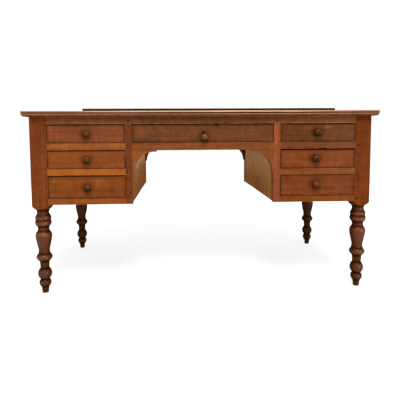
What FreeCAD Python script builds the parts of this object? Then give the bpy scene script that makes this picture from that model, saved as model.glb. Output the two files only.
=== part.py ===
import FreeCAD, Part
import math
import os

# Kneehole writing table in solid wood: a moulded top on a frame of four posts that end in
# turned legs, two pedestals of three drawers and one drawer over the kneehole.
# Millimetres, +Z up, floor at z = 0, front towards -Y, origin under the middle of the top.

V = FreeCAD.Vector
SAME_PLACE = 1e-6

# Plan of the frame
FRAME_WIDTH = 1428.0
FRAME_DEPTH = 740.0
KNEEHOLE_WIDTH = 594.0
POST = 68.0
STILE_WIDTH = 28.0
FRAME_THICKNESS = 28.0

# Heights of the pedestal front, stacked from the foot of the legs to the top
POST_DROP = 1.0
BOTTOM_RAIL_HEIGHT = 25.0
BOTTOM_OPENING = 97.0
LOWER_BLADE_HEIGHT = 27.0
RIGHT_BLADE_DROP = 5.5
MIDDLE_OPENING = 78.0
UPPER_BLADE_HEIGHT = 28.5
TOP_OPENING = 78.5
TOP_RAIL_HEIGHT = 31.0
CENTRE_RAIL_HEIGHT = 31.0

# Leg turning from the floor up: rise of each member, radius at its upper end and
# swell of its outline (outwards positive, hollow negative)
FOOT_RADIUS = 12.4
PEG_FOOT = (20.0, 14.4, 0.0)
FOOT_FLARE = (10.0, 18.8, -0.8)
TOE_BEAD = (30.0, 17.0, 6.3)
BALL = (48.0, 17.8, 10.9)
SHANK = (26.0, 19.4, 0.0)
SHANK_FLARE = (5.0, 20.9, 0.0)
LOWER_RING_UNDERSIDE = (16.0, 32.6, 1.8)
LOWER_RING_TOP = (14.0, 25.2, 1.8)
RING_FILLET = (3.0, 24.4, 0.0)
VASE_HOLLOW = (26.0, 24.2, -1.9)
VASE_SWELL = (44.0, 33.0, 0.6)
VASE_SHOULDER = (26.0, 25.0, 3.5)
VASE_NECK = (21.0, 25.5, -2.3)
MIDDLE_RING = (26.5, 30.0, 5.5)
UPPER_RING = (20.5, 28.5, 3.0)
POMMEL_NECK = (21.0, 26.0, -2.6)
POMMEL_UNDERSIDE = (6.0, 31.0, 0.0)
POMMEL_HEIGHT = 19.0
POMMEL_SWELL = 2.0
CORNER_ROOM = 1.0

# Top and the leather-bound writing pad that lies on it
TOP_OVERHANG = 25.0
NOSING_HEIGHT = 7.5
NOSING_ROUND = 3.5
QUIRK_HEIGHT = 2.0
QUIRK_DEPTH = 2.5
OVOLO_HEIGHT = 12.5
OVOLO_INSET = 0.5
OVOLO_ROUND = 11.5
TOP_CORNER_ROUND = 4.0
PAD_LENGTH = 1062.0
PAD_DEPTH = 600.0
PAD_THICKNESS = 11.0
PAD_SETBACK = 35.0
PAD_OFFSET = 31.0
PAD_EDGE_ROUND = 3.0
PAD_CORNER_ROUND = 6.0

# Joints of the frame
TENON_THICKNESS = FRAME_THICKNESS / 3
GROOVE_DEPTH = FRAME_THICKNESS / 4
POST_TENON = 30.0
STILE_TENON = 10.5
TENON_SHOULDER = 4.0
STILE_TOP_TENON = 22.0
JOINT_GAP = 0.2
MORTISE_ROOM = 1.0
PEG_RADIUS = 3.5
PEG_LENGTH = 22.0
PLUG_RADIUS = 2.5
PLUG_DROP = 7.5
PLUG_FROM_STILE = 22.0
PEG_IN_POST = 15.0
PEG_IN_STILE = 6.0
PEG_ABOVE_STILE = 13.0
EASED_EDGE = 1.2
RAIL_EASE = 0.7

# Panels and brackets
SIDE_PANEL_THICKNESS = 16.0
SIDE_PANEL_RECESS = 8.0
KNEEHOLE_PANEL_THICKNESS = 14.0
KNEEHOLE_PANEL_RECESS = 3.0
BACK_PANEL_THICKNESS = 10.0
BACK_PANEL_RECESS = 8.0
BRACKET_SPAN = 102.0
BRACKET_DROP = 93.0
BRACKET_LIP = 6.0
BRACKET_NOSE = 4.0
BRACKET_THICKNESS = 22.0
BRACKET_SETBACK = 1.0

# Drawer runs inside the carcase
RUNNER_WIDTH = 24.0
RUNNER_HEIGHT = 20.0
GUIDE_RISE = 14.0
STOP_LENGTH = 20.0
STOP_GAP = 0.3

# Drawers
DRAWER_GAP = 1.5
DRAWER_SIDE_GAP = 2.0
DRAWER_TOP_GAP = 3.0
WORN_GAP = 4.5
RUNNING_GAP = 0.3
BACK_ROOM = 80.0
FRONT_THICKNESS = 22.0
SIDE_THICKNESS = 12.0
SIDE_DROP = 1.0
BACK_THICKNESS = 10.0
BACK_INSET = 20.0
BACK_DROP = 6.0
HOUSING_DEPTH = 4.0
BOTTOM_THICKNESS = 8.0
BOTTOM_RISE = 8.0
BOTTOM_TONGUE = 6.0
TAIL_COUNT = 3
DOVETAIL_LAP = 6.0
DOVETAIL_PIN = 8.0
DOVETAIL_SLOPE = 1 / 7

# Knob turning from the drawer front outwards, in the same terms as the leg
KNOB_SPIGOT_RADIUS = 5.0
SPIGOT_GAP = 0.15
KNOB_COLLAR_RADIUS = 10.0
KNOB_COLLAR = (3.0, 10.0, 0.0)
KNOB_NECK = (5.0, 7.5, -0.6)
KNOB_RADIUS = 16.0
KNOB_CHEEK = (9.0, KNOB_RADIUS, 3.4)
DOME_HEIGHT = 8.0
KNOB_SHIFT = 4.5
LOWER_KNOB_SHIFT = 5.0
LOWEST_KNOB_RISE = 5.5
SCREW_RECESS_RADIUS = 3.0
SCREW_RECESS_DEPTH = 7.0

# Wear: a notch under the right upper blade and a chip in the top of the centre drawer's front
NOTCH_X = 506.0
NOTCH_WIDTH = 32.0
NOTCH_HEIGHT = 3.0
NOTCH_DEPTH = 9.0
CHIP_X = 54.0
CHIP_WIDTH = 9.0
CHIP_HEIGHT = 6.0
CHIP_DEPTH = 4.0

# Lock of the centre drawer
KEYHOLE_DROP = 36.5
KNOB_UNDER_KEYHOLE = 17.0
KEYHOLE_RADIUS = 3.0
KEYHOLE_SLOT = 2.6
KEYHOLE_LENGTH = 9.0
LOCK_WIDTH = 56.0
LOCK_HEIGHT = 46.0
LOCK_DEPTH = 10.0
BOLT_WIDTH = 18.0
BOLT_THICKNESS = 5.0
BOLT_HEIGHT = 22.0
BOLT_TRAVEL = 9.0
BOLT_GAP = 0.3
BOLT_MORTISE_ROOM = 1.0

# Places that follow from the sizes
TURNED_MEMBERS = [
    PEG_FOOT, FOOT_FLARE, TOE_BEAD, BALL, SHANK, SHANK_FLARE, LOWER_RING_UNDERSIDE,
    LOWER_RING_TOP, RING_FILLET, VASE_HOLLOW, VASE_SWELL, VASE_SHOULDER, VASE_NECK,
    MIDDLE_RING, UPPER_RING, POMMEL_NECK, POMMEL_UNDERSIDE,
    (POMMEL_HEIGHT, math.hypot(POST, POST) / 2 + CORNER_ROOM, POMMEL_SWELL),
]
DOME_BALL_RADIUS = (KNOB_RADIUS ** 2 + DOME_HEIGHT ** 2) / (2 * DOME_HEIGHT)
DOME_HALF_CHORD = math.hypot(KNOB_RADIUS, DOME_HEIGHT) / 2
DOME_SWELL = DOME_BALL_RADIUS - math.sqrt(DOME_BALL_RADIUS ** 2 - DOME_HALF_CHORD ** 2)
KNOB_MEMBERS = [KNOB_COLLAR, KNOB_NECK, KNOB_CHEEK, (DOME_HEIGHT, 0.0, DOME_SWELL)]
TURNED_HEIGHT = sum(rise for rise, radius, swell in TURNED_MEMBERS)
PEDESTAL_Z = TURNED_HEIGHT + POST_DROP
BOTTOM_Z = PEDESTAL_Z + BOTTOM_RAIL_HEIGHT
LOWER_BLADE_Z = BOTTOM_Z + BOTTOM_OPENING
MIDDLE_Z = LOWER_BLADE_Z + LOWER_BLADE_HEIGHT
UPPER_BLADE_Z = MIDDLE_Z + MIDDLE_OPENING
UPPER_Z = UPPER_BLADE_Z + UPPER_BLADE_HEIGHT
TOP_RAIL_Z = UPPER_Z + TOP_OPENING
TOP_Z = TOP_RAIL_Z + TOP_RAIL_HEIGHT
CENTRE_RAIL_Z = UPPER_Z - CENTRE_RAIL_HEIGHT
TABLE_Z = TOP_Z + OVOLO_HEIGHT + QUIRK_HEIGHT + NOSING_HEIGHT

FRAME_X = FRAME_WIDTH / 2
POST_X = FRAME_X - POST
KNEE_X = KNEEHOLE_WIDTH / 2
STILE_X = KNEE_X + STILE_WIDTH
SIDE_PANEL_X = FRAME_X - SIDE_PANEL_RECESS - SIDE_PANEL_THICKNESS
KNEE_PANEL_X = KNEE_X + KNEEHOLE_PANEL_RECESS
KNEE_PANEL_BACK_X = KNEE_PANEL_X + KNEEHOLE_PANEL_THICKNESS
FRONT_Y = -FRAME_DEPTH / 2
FRAME_BACK_Y = FRONT_Y + FRAME_THICKNESS
POST_BACK_Y = FRONT_Y + POST
BACK_PANEL_Y = -FRONT_Y - BACK_PANEL_RECESS - BACK_PANEL_THICKNESS
TENON_Y = FRONT_Y + (FRAME_THICKNESS - TENON_THICKNESS) / 2
DRAWER_END_Y = -FRONT_Y - BACK_ROOM


def block(x0, x1, y0, y1, z0, z1, grow=0.0):
    """Rectangular board between two ends on each axis, grown on all sides for a clearance."""
    size = V(x1 - x0 + 2 * grow, y1 - y0 + 2 * grow, z1 - z0 + 2 * grow)
    return Part.makeBox(size.x, size.y, size.z, V(x0 - grow, y0 - grow, z0 - grow))


def prism(points, direction):
    """Straight-sided solid over a closed outline."""
    return Part.Face(Part.makePolygon(points + points[:1])).extrude(direction)


def to_left(shape):
    """The same piece on the other side of the kneehole."""
    return shape.mirror(V(0, 0, 0), V(1, 0, 0))


def to_rear(shape):
    """The same piece in the rear frame."""
    return shape.mirror(V(0, 0, 0), V(0, 1, 0))


def pair(shape):
    """A right-hand piece with its left-hand twin."""
    return Part.makeCompound([shape, to_left(shape)])


def cut_all(shape, cutters):
    """The piece less each of the cutters."""
    for cutter in cutters:
        shape = shape.cut(cutter)
    return shape


def ease(shape, wanted, radius=EASED_EDGE):
    """Round off the edges that the test picks."""
    return shape.makeFillet(radius, [edge for edge in shape.Edges if wanted(edge)])


def runs_along(edge, axis):
    """True for a straight edge along one axis."""
    ends = edge.Vertexes
    step = ends[-1].Point - ends[0].Point
    return abs(abs(step.dot(axis)) - edge.Length) < SAME_PLACE


def on_front(edge):
    """True for an edge in the front plane of the frame."""
    return all(abs(end.Y - FRONT_Y) < SAME_PLACE for end in edge.Vertexes)


def eased_board(x0, x1, z0, z1, grain):
    """Frame member flush with the front, its two long front edges taken off."""
    board = block(x0, x1, FRONT_Y, FRAME_BACK_Y, z0, z1)
    return ease(board, lambda edge: on_front(edge) and runs_along(edge, grain), RAIL_EASE)


# Front frame joints

def tenon(x0, x1, z0, z1, grow=0.0):
    """Tenon on a rail end, between two places along the rail."""
    low = z0 + TENON_SHOULDER
    high = z1 - TENON_SHOULDER
    return block(x0, x1, TENON_Y, TENON_Y + TENON_THICKNESS, low, high, grow)


def mortise_in_post(z0, z1):
    """Mortise in the right post for a rail between two heights."""
    return tenon(POST_X, POST_X + POST_TENON + MORTISE_ROOM, z0, z1, JOINT_GAP)


def mortise_in_stile(z0, z1):
    """Mortise in the pedestal side of the right stile."""
    return tenon(STILE_X - STILE_TENON - JOINT_GAP, STILE_X, z0, z1, JOINT_GAP)


def pedestal_rail(z0, z1):
    """Blade or bottom rail between the right stile and the right post."""
    board = eased_board(STILE_X, POST_X, z0, z1, V(1, 0, 0))
    tenons = tenon(STILE_X - STILE_TENON, POST_X + POST_TENON, z0, z1)
    return board.fuse(tenons).removeSplitter()


def peg(x, z, radius, grow=0.0):
    """Round peg driven in from the front face."""
    return Part.makeCylinder(radius + grow, PEG_LENGTH + grow, V(x, FRONT_Y, z), V(0, 1, 0))


def middle(z0, z1):
    """Height halfway up a rail."""
    return (z0 + z1) / 2


BOTTOM_RAIL = (PEDESTAL_Z, BOTTOM_Z)
LEFT_BLADE = (LOWER_BLADE_Z, MIDDLE_Z)
RIGHT_BLADE = (LOWER_BLADE_Z - RIGHT_BLADE_DROP, MIDDLE_Z - RIGHT_BLADE_DROP)
UPPER_BLADE = (UPPER_BLADE_Z, UPPER_Z)
CENTRE_RAIL = (CENTRE_RAIL_Z, UPPER_Z)
TOP_RAIL = (TOP_RAIL_Z, TOP_Z)
STILE_TENON_MARGIN = STILE_WIDTH / 6

# Pegs that show on each half of the front, as if both were the right half; plugs over the
# nails that hold the runners are thinner
OVER_STILE = ((KNEE_X + STILE_X) / 2, TOP_RAIL_Z + PEG_ABOVE_STILE, PEG_RADIUS)
RIGHT_PEGS = [
    OVER_STILE,
    (POST_X + PEG_IN_POST, middle(*BOTTOM_RAIL), PEG_RADIUS),
    (POST_X + PEG_IN_POST, middle(*UPPER_BLADE), PEG_RADIUS),
    (STILE_X + PLUG_FROM_STILE, UPPER_Z - PLUG_DROP, PLUG_RADIUS),
    (KNEE_X - PLUG_FROM_STILE, UPPER_Z - PLUG_DROP, PLUG_RADIUS),
]
LEFT_PEGS = [
    OVER_STILE,
    (STILE_X - PEG_IN_STILE, middle(*LEFT_BLADE), PEG_RADIUS),
]
RIGHT_HOLES = [peg(*place, JOINT_GAP) for place in RIGHT_PEGS]
LEFT_HOLES = [peg(*place, JOINT_GAP) for place in LEFT_PEGS]


def pegged_pair(left, right):
    """Left and right pieces of the front frame, both given as right ones, bored for their pegs."""
    return to_left(cut_all(left, LEFT_HOLES)), cut_all(right, RIGHT_HOLES)


def mortised_pair(shape, mortise):
    """Left and right uprights of the front frame, mortised for their own drawer blades."""
    shape = shape.cut(mortise(*UPPER_BLADE))
    return pegged_pair(shape.cut(mortise(*LEFT_BLADE)), shape.cut(mortise(*RIGHT_BLADE)))


def stile_top_tenon(grow=0.0):
    """Tenon that stands on the right stile and enters the top rail from below."""
    x0 = KNEE_X + STILE_TENON_MARGIN
    x1 = STILE_X - STILE_TENON_MARGIN
    return block(x0, x1, TENON_Y, TENON_Y + TENON_THICKNESS,
                 TOP_RAIL_Z - grow, TOP_RAIL_Z + STILE_TOP_TENON, grow)


# Panels, with a tongue half as thick as the board along each upright edge

def tongued_panel(x0, thickness, end_y, tongue_top_z):
    """Upright board between front and rear uprights, and its tongues with a clearance."""
    tongue_x = x0 + thickness / 4
    tongue_end = end_y + GROOVE_DEPTH
    board = block(x0, x0 + thickness, -end_y, end_y, PEDESTAL_Z, TOP_Z)
    size = (tongue_x, tongue_x + thickness / 2, -tongue_end, tongue_end, PEDESTAL_Z, tongue_top_z)
    return board.fuse(block(*size)).removeSplitter(), block(*size, JOINT_GAP)


side_panel, side_groove = tongued_panel(SIDE_PANEL_X, SIDE_PANEL_THICKNESS, -POST_BACK_Y, TOP_Z)
knee_panel, knee_groove = tongued_panel(
    KNEE_PANEL_X, KNEEHOLE_PANEL_THICKNESS, -FRAME_BACK_Y, TOP_RAIL_Z - JOINT_GAP)


def back_panel(x0, x1, z0, z1, grow=0.0):
    """Flat board in the rear frame, with its ends in the grooves of the uprights."""
    y1 = BACK_PANEL_Y + BACK_PANEL_THICKNESS
    return block(x0 - GROOVE_DEPTH, x1 + GROOVE_DEPTH, BACK_PANEL_Y, y1, z0, z1, grow)


PEDESTAL_BACK = (STILE_X, POST_X, BOTTOM_Z, TOP_RAIL_Z)
CENTRE_BACK = (-KNEE_X, KNEE_X, UPPER_Z, TOP_RAIL_Z)


# Legs: a square post above, turned below, from one piece of wood

def turned_outline(radius, members):
    """Edges of a turned outline upwards from z = 0, and the point that it ends at."""
    edges = []
    low = V(radius, 0, 0)
    for rise, radius, swell in members:
        high = V(radius, 0, low.z + rise)
        if swell:
            chord = high - low
            out = V(chord.z, 0, -chord.x).normalize()
            edges.append(Part.Arc(low, (low + high) / 2 + out * swell, high).toShape())
        else:
            edges.append(Part.makeLine(low, high))
        low = high
    return edges, low


def revolved(edges, corners):
    """Solid of revolution about Z over an outline closed by straight lines between corners."""
    lines = [Part.makeLine(start, end) for start, end in zip(corners, corners[1:])]
    return Part.Face(Part.Wire(edges + lines)).revolve(V(0, 0, 0), V(0, 0, 1), 360)


def leg_blank():
    """Post and turning at the front right corner, before the joints are cut."""
    edges, shoulder = turned_outline(FOOT_RADIUS, TURNED_MEMBERS)
    top = V(shoulder.x, 0, TOP_Z)
    turning = revolved(edges, [shoulder, top, V(0, 0, TOP_Z), V(0, 0, 0), V(FOOT_RADIUS, 0, 0)])
    half = POST / 2
    square = block(-half, half, -half, half, 0, TOP_Z)
    square = ease(square, lambda edge: runs_along(edge, V(0, 0, 1)))
    leg = turning.common(square)
    leg.translate(V(FRAME_X - half, FRONT_Y + half, 0))
    return leg


blank = leg_blank()
shared_cuts = [mortise_in_post(*BOTTOM_RAIL), mortise_in_post(*TOP_RAIL), side_groove]
leg = cut_all(blank, shared_cuts)
front_leg_left, front_leg_right = mortised_pair(leg, mortise_in_post)
rear_leg = leg.cut(to_rear(back_panel(*PEDESTAL_BACK, JOINT_GAP)))

# Rails and stiles
top_rail = eased_board(-POST_X, POST_X, *TOP_RAIL, V(1, 0, 0))
top_tenons = tenon(-POST_X - POST_TENON, POST_X + POST_TENON, *TOP_RAIL)
top_rail = top_rail.fuse(top_tenons).removeSplitter()
stile_socket = stile_top_tenon(JOINT_GAP)
top_rail = cut_all(top_rail, [stile_socket, to_left(stile_socket)])

centre_rail = eased_board(-KNEE_X, KNEE_X, *CENTRE_RAIL, V(1, 0, 0))
centre_tenon = tenon(-KNEE_X - STILE_TENON, KNEE_X + STILE_TENON, *CENTRE_RAIL)
centre_rail = centre_rail.fuse(centre_tenon).removeSplitter()
centre_mortise = tenon(KNEE_X, KNEE_X + STILE_TENON + JOINT_GAP, *CENTRE_RAIL, JOINT_GAP)

bottom_rail = pedestal_rail(*BOTTOM_RAIL)
front_bottom_rails = pegged_pair(bottom_rail, bottom_rail)
lower_blade_left, lower_blade_right = pegged_pair(pedestal_rail(*LEFT_BLADE), pedestal_rail(*RIGHT_BLADE))
upper_blade = pedestal_rail(*UPPER_BLADE)
upper_blade_left, upper_blade_right = pegged_pair(upper_blade, upper_blade)
notch = block(NOTCH_X - NOTCH_WIDTH / 2, NOTCH_X + NOTCH_WIDTH / 2, FRONT_Y, FRONT_Y + NOTCH_DEPTH,
              UPPER_BLADE_Z, UPPER_BLADE_Z + NOTCH_HEIGHT)
upper_blade_right = upper_blade_right.cut(notch)

stile = eased_board(KNEE_X, STILE_X, PEDESTAL_Z, TOP_RAIL_Z, V(0, 0, 1))
stile = stile.fuse(stile_top_tenon()).removeSplitter()
stile = cut_all(stile, [mortise_in_stile(*BOTTOM_RAIL), centre_mortise, knee_groove])
front_stile_left, front_stile_right = mortised_pair(stile, mortise_in_stile)
rear_grooves = [back_panel(*PEDESTAL_BACK, JOINT_GAP), back_panel(*CENTRE_BACK, JOINT_GAP)]
rear_stile = cut_all(to_rear(stile), rear_grooves)


# Corner brackets under the centre rails

def bracket():
    """Right-hand bracket: a spandrel with a hollow quarter-round and a nose at each end."""
    corner_x = KNEE_X
    corner_z = CENTRE_RAIL_Z
    tip_x = corner_x - BRACKET_SPAN
    tip_z = corner_z - BRACKET_DROP
    y = FRONT_Y + BRACKET_SETBACK
    rail_nose = V(tip_x + BRACKET_NOSE, y, corner_z - BRACKET_LIP)
    stile_nose = V(corner_x - BRACKET_LIP, y, tip_z + BRACKET_NOSE)
    bend = math.sqrt(0.5)
    hollow_x = rail_nose.x + (stile_nose.x - rail_nose.x) * bend
    hollow_z = stile_nose.z + (rail_nose.z - stile_nose.z) * bend
    outline = [
        Part.makeLine(V(corner_x, y, corner_z), V(tip_x, y, corner_z)),
        Part.makeLine(V(tip_x, y, corner_z), V(tip_x, y, corner_z - BRACKET_LIP + BRACKET_NOSE)),
        quarter_nose(V(tip_x, y, rail_nose.z + BRACKET_NOSE), rail_nose),
        Part.Arc(rail_nose, V(hollow_x, y, hollow_z), stile_nose).toShape(),
        quarter_nose(stile_nose, V(stile_nose.x + BRACKET_NOSE, y, tip_z)),
        Part.makeLine(V(stile_nose.x + BRACKET_NOSE, y, tip_z), V(corner_x, y, tip_z)),
        Part.makeLine(V(corner_x, y, tip_z), V(corner_x, y, corner_z)),
    ]
    return Part.Face(Part.Wire(outline)).extrude(V(0, BRACKET_THICKNESS, 0))


def quarter_nose(start, end):
    """Quarter circle that rounds a nose, bulging down and towards the kneehole."""
    bend = math.sqrt(0.5)
    centre = V(max(start.x, end.x), start.y, max(start.z, end.z))
    radius = abs(end.x - start.x)
    return Part.Arc(start, centre - V(radius * bend, 0, radius * bend), end).toShape()


# Runs for the drawers: runners below, guides beside, stops behind and kickers above

def run_strips(x0, x1, guide_x0, guide_x1, guide_end_y, z):
    """Runner, guide and stop on one side of a drawer opening whose floor is at z."""
    floor = z - RUNNER_HEIGHT
    stop_y = DRAWER_END_Y + STOP_GAP
    return [
        block(x0, x1, FRAME_BACK_Y, -FRAME_BACK_Y, floor, z),
        block(guide_x0, guide_x1, -guide_end_y, guide_end_y, floor, z + GUIDE_RISE),
        block(x0, x1, stop_y, stop_y + STOP_LENGTH, z, z + GUIDE_RISE),
    ]


def kicker(x0, x1):
    """Strip under the top that keeps a drawer level as it comes out."""
    return block(x0, x1, FRAME_BACK_Y, -FRAME_BACK_Y, TOP_RAIL_Z, TOP_Z)


OUTER_RUN = (POST_X - RUNNER_WIDTH, POST_X)
INNER_RUN = (STILE_X, STILE_X + RUNNER_WIDTH)
CENTRE_RUN = (KNEE_X - RUNNER_WIDTH, KNEE_X)


def pedestal_runs(middle_floor_z):
    """All strips of a right pedestal whose middle drawer runs at the given height."""
    strips = [kicker(*OUTER_RUN), kicker(*INNER_RUN)]
    for floor_z in (BOTTOM_Z, middle_floor_z, UPPER_Z):
        strips += run_strips(*OUTER_RUN, POST_X, SIDE_PANEL_X, -POST_BACK_Y, floor_z)
        strips += run_strips(*INNER_RUN, KNEE_PANEL_BACK_X, STILE_X, -FRAME_BACK_Y, floor_z)
    return strips


left_runs = [to_left(strip) for strip in pedestal_runs(LEFT_BLADE[1])]
centre_runs = [kicker(*CENTRE_RUN)]
centre_runs += run_strips(*CENTRE_RUN, KNEE_X, KNEE_PANEL_X, -FRAME_BACK_Y, UPPER_Z)


# Top, moulded on all four edges, and the pad on it

def slab(inset, z0, height):
    """Layer of the top, set in from its outer edge."""
    x = FRAME_X + TOP_OVERHANG - inset
    y = -FRONT_Y + TOP_OVERHANG - inset
    layer = block(-x, x, -y, y, z0, z0 + height)
    corners = [edge for edge in layer.Edges if runs_along(edge, V(0, 0, 1))]
    return layer.makeFillet(TOP_CORNER_ROUND, corners)


def round_rim(layer, z, radius):
    """Round over the rim of a layer at one height."""
    rim = [edge for edge in layer.Edges if all(abs(end.Z - z) < SAME_PLACE for end in edge.Vertexes)]
    return layer.makeFillet(radius, rim)


def top_board():
    """Nosing, quirk and ovolo, worked on one board."""
    quirk_z = TOP_Z + OVOLO_HEIGHT
    nosing_z = quirk_z + QUIRK_HEIGHT
    ovolo = round_rim(slab(OVOLO_INSET, TOP_Z, OVOLO_HEIGHT), TOP_Z, OVOLO_ROUND)
    quirk = slab(QUIRK_DEPTH, quirk_z, QUIRK_HEIGHT)
    nosing = slab(0, nosing_z, NOSING_HEIGHT)
    for z in (nosing_z, TABLE_Z):
        nosing = round_rim(nosing, z, NOSING_ROUND)
    return ovolo.fuse(quirk).fuse(nosing).removeSplitter()


def writing_pad():
    """Flat board bound in leather, lying on the top near the front edge."""
    y0 = FRONT_Y - TOP_OVERHANG + PAD_SETBACK
    x0 = PAD_OFFSET - PAD_LENGTH / 2
    pad = block(x0, x0 + PAD_LENGTH, y0, y0 + PAD_DEPTH, TABLE_Z, TABLE_Z + PAD_THICKNESS)
    corners = [edge for edge in pad.Edges if runs_along(edge, V(0, 0, 1))]
    pad = pad.makeFillet(PAD_CORNER_ROUND, corners)
    return round_rim(pad, TABLE_Z + PAD_THICKNESS, PAD_EDGE_ROUND)


# Drawers

def knob(x, z, screw_recess):
    """Turned knob with a spigot through the drawer front."""
    edges, face = turned_outline(KNOB_COLLAR_RADIUS, KNOB_MEMBERS)
    root = V(KNOB_SPIGOT_RADIUS, 0, -FRONT_THICKNESS)
    corners = [face, V(0, 0, root.z), root, V(root.x, 0, 0), V(KNOB_COLLAR_RADIUS, 0, 0)]
    turned = revolved(edges, corners)
    if screw_recess:
        floor = V(0, 0, face.z - SCREW_RECESS_DEPTH)
        turned = turned.cut(Part.makeCylinder(SCREW_RECESS_RADIUS, face.z, floor))
    turned.rotate(V(0, 0, 0), V(1, 0, 0), 90)
    turned.translate(V(x, FRONT_Y, z))
    return turned


def tails(x0, z0, z1, grow=0.0):
    """Row of dovetails on the front end of a drawer side, as separate prisms."""
    tip_y = FRONT_Y + DOVETAIL_LAP - grow
    root_y = FRONT_Y + FRONT_THICKNESS
    pitch = (z1 - z0) / TAIL_COUNT
    row = []
    for index in range(TAIL_COUNT):
        centre = z0 + pitch * (index + 0.5)
        tip = (pitch - DOVETAIL_PIN) / 2 + grow
        root = tip - DOVETAIL_SLOPE * (root_y - tip_y)
        x = x0 - grow
        points = [V(x, tip_y, centre - tip), V(x, root_y, centre - root),
                  V(x, root_y, centre + root), V(x, tip_y, centre + tip)]
        row.append(prism(points, V(SIDE_THICKNESS + 2 * grow, 0, 0)))
    return row


def drawer(x0, x1, z0, z1, knob_x, knob_z=None, top_gap=DRAWER_TOP_GAP, screw_recess=False):
    """Front, box, bottom and knob of a drawer that fills an opening of the frame."""
    left = x0 + DRAWER_SIDE_GAP
    right = x1 - DRAWER_SIDE_GAP
    inner_left = left + SIDE_THICKNESS
    inner_right = right - SIDE_THICKNESS
    front_y = FRONT_Y + FRONT_THICKNESS
    low = z0 + RUNNING_GAP
    foot = z0 + DRAWER_GAP
    high = z1 - top_gap
    side_high = high - SIDE_DROP
    bottom_z = low + BOTTOM_RISE
    back_y = DRAWER_END_Y - BACK_INSET
    knob_z = middle(z0, z1) if knob_z is None else knob_z

    bottom_size = (inner_left - BOTTOM_TONGUE, inner_right + BOTTOM_TONGUE, front_y - BOTTOM_TONGUE,
                   DRAWER_END_Y, bottom_z, bottom_z + BOTTOM_THICKNESS)
    back_size = (inner_left - HOUSING_DEPTH, inner_right + HOUSING_DEPTH, back_y - BACK_THICKNESS,
                 back_y, bottom_z + BOTTOM_THICKNESS, side_high - BACK_DROP)
    groove = block(*bottom_size, JOINT_GAP)
    housing = block(*back_size, JOINT_GAP)

    front = block(left, right, FRONT_Y, front_y, foot, high)
    front = ease(front, on_front)
    spigot_hole = Part.makeCylinder(
        KNOB_SPIGOT_RADIUS + SPIGOT_GAP, FRONT_THICKNESS, V(knob_x, FRONT_Y, knob_z), V(0, 1, 0))
    front = cut_all(front, [groove, spigot_hole])
    sides = []
    for side_x in (left, inner_right):
        side = block(side_x, side_x + SIDE_THICKNESS, front_y, DRAWER_END_Y, low, side_high)
        for tail in tails(side_x, foot, side_high):
            side = side.fuse(tail)
        sides.append(cut_all(side.removeSplitter(), [groove, housing]))
        front = cut_all(front, tails(side_x, foot, side_high, JOINT_GAP))
    back = block(*back_size)
    return {
        "front": front,
        "box": Part.makeCompound(sides + [back]),
        "bottom": block(*bottom_size),
        "knob": knob(knob_x, knob_z, screw_recess),
    }


# Lock let into the back of the centre drawer's front

LOCK_TOP_Z = TOP_RAIL_Z - DRAWER_TOP_GAP
KEYHOLE_Z = LOCK_TOP_Z - KEYHOLE_DROP
LOCK_BACK_Y = FRONT_Y + FRONT_THICKNESS
BOLT_Y = LOCK_BACK_Y - LOCK_DEPTH / 2
LOCK_SIZE = (-LOCK_WIDTH / 2, LOCK_WIDTH / 2, LOCK_BACK_Y - LOCK_DEPTH, LOCK_BACK_Y,
             LOCK_TOP_Z - LOCK_HEIGHT, LOCK_TOP_Z)


def bolt(top_z, height, grow=0.0):
    """Flat bolt that slides upwards out of the lock."""
    return block(-BOLT_WIDTH / 2, BOLT_WIDTH / 2, BOLT_Y - BOLT_THICKNESS / 2,
                 BOLT_Y + BOLT_THICKNESS / 2, top_z - height, top_z, grow)


def keyhole():
    """Keyhole through the drawer front and into the lock, as far as the bolt's middle plane."""
    depth = BOLT_Y - FRONT_Y
    pin = Part.makeCylinder(KEYHOLE_RADIUS, depth, V(0, FRONT_Y, KEYHOLE_Z), V(0, 1, 0))
    slot = block(-KEYHOLE_SLOT / 2, KEYHOLE_SLOT / 2, FRONT_Y, FRONT_Y + depth,
                 KEYHOLE_Z - KEYHOLE_LENGTH, KEYHOLE_Z)
    return pin.fuse(slot)


lock_case = block(*LOCK_SIZE)
lock_case = cut_all(lock_case, [keyhole(), bolt(LOCK_TOP_Z, BOLT_HEIGHT + BOLT_GAP, BOLT_GAP)])
lock_bolt = bolt(LOCK_TOP_Z - BOLT_GAP, BOLT_HEIGHT)
bolt_mortise = bolt(TOP_RAIL_Z + BOLT_TRAVEL, BOLT_TRAVEL, BOLT_MORTISE_ROOM)
left_holes = [to_left(hole) for hole in LEFT_HOLES]
front_top_rail = cut_all(top_rail, RIGHT_HOLES + left_holes + [bolt_mortise])
pegs = [peg(*place) for place in RIGHT_PEGS] + [to_left(peg(*place)) for place in LEFT_PEGS]
chip_z = LOCK_TOP_Z - CHIP_HEIGHT
chip = prism([V(CHIP_X - CHIP_WIDTH / 2, FRONT_Y, LOCK_TOP_Z), V(CHIP_X, FRONT_Y, chip_z),
              V(CHIP_X + CHIP_WIDTH / 2, FRONT_Y, LOCK_TOP_Z)], V(0, CHIP_DEPTH, 0))

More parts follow.
